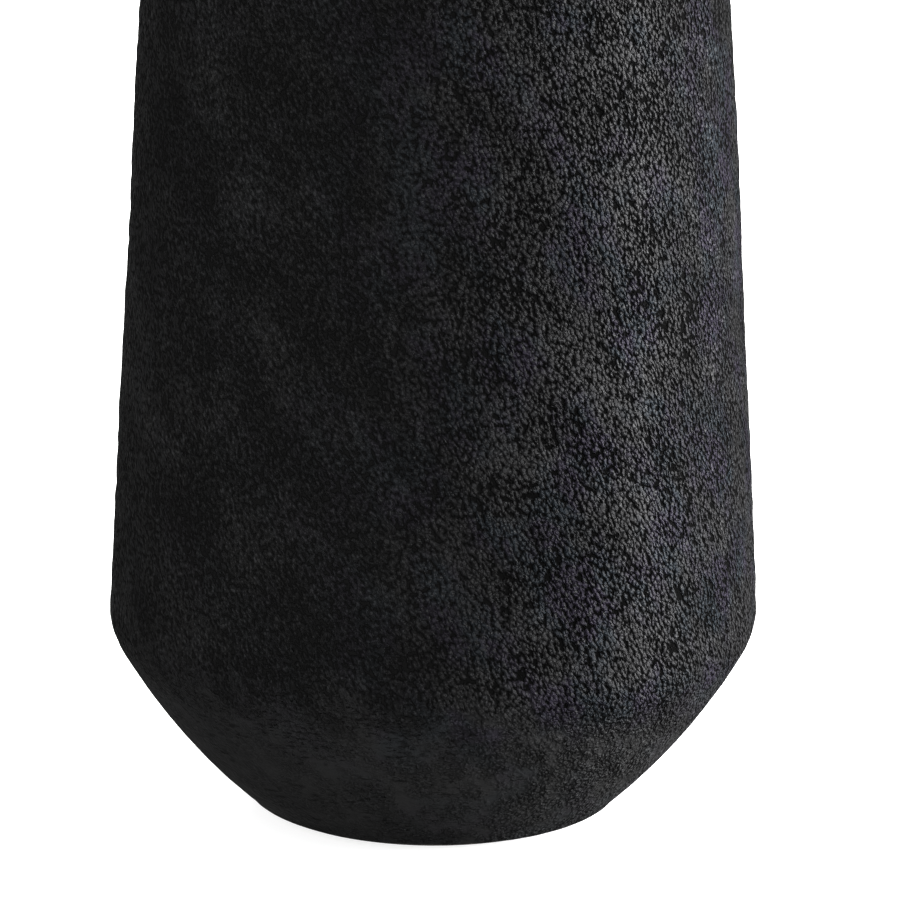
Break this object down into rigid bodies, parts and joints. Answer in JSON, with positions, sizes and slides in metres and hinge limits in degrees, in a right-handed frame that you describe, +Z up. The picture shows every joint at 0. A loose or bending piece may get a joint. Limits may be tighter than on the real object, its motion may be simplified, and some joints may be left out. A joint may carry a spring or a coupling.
{
  "type": "stoneware bottle vase",
  "caption": "Tall stoneware vase with a tapered foot, straight leaning wall, short neck and rolled lip, in rough matte black glaze. Holds stems and water.",
  "frame": {"origin": "on the vase's axis, at the plane it stands on", "axes": "+Z up along the axis of the vase, out of its mouth; +X and +Y are free, as the body is round"},
  "size_m": [0.2, 0.2, 0.4],
  "materials": {
    "clay": "matte",
    "slip": "matte",
    "foot_glaze": "satin",
    "body_glaze": "matte",
    "liner_glaze": "satin",
    "felt": "matte"
  },
  "bodies": {
    "root": {"foot_ring": "clay", "base_floor": "clay", "tapered_wall": "clay", "lower_body": "clay", "upper_body": "clay", "shoulder": "clay", "neck": "clay", "lip": "clay", "foot_slip_joint": "slip", "floor_slip_joint": "slip", "belly_slip_joint": "slip", "body_slip_joint": "slip", "shoulder_slip_joint": "slip", "neck_slip_joint": "slip", "lip_slip_joint": "slip", "foot_glaze": "foot_glaze", "body_glaze": "body_glaze", "liner_glaze": "liner_glaze", "felt_pad_front": "felt", "felt_pad_right": "felt", "felt_pad_back": "felt", "felt_pad_left": "felt"}
  },
  "joints": []
}
